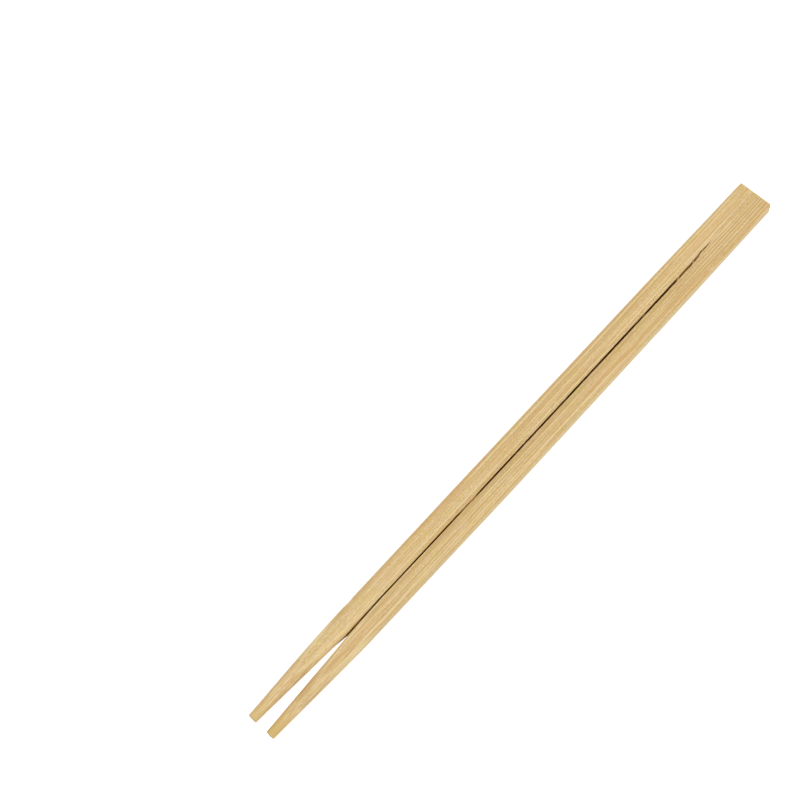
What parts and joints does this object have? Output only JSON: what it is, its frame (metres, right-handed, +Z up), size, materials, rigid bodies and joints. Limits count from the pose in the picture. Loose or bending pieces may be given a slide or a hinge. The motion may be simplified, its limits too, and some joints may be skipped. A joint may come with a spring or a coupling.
{
  "type": "joined pair of bamboo chopsticks",
  "caption": "Flat strip of bamboo split from its ground round tips up to a joined head, to be snapped apart into a pair of eating sticks.",
  "frame": {"origin": "on the surface that the pair lies on, under the middle of the strip", "axes": "+X along the strip to the joined head, +Y across to the left stick, +Z up out of the upper face"},
  "size_m": [0.23, 0.013, 0.0045],
  "materials": {
    "bamboo": "dry milled bamboo with fine fibres along the length, satin"
  },
  "bodies": {
    "root": {"chopstick_pair": "bamboo"}
  },
  "joints": []
}
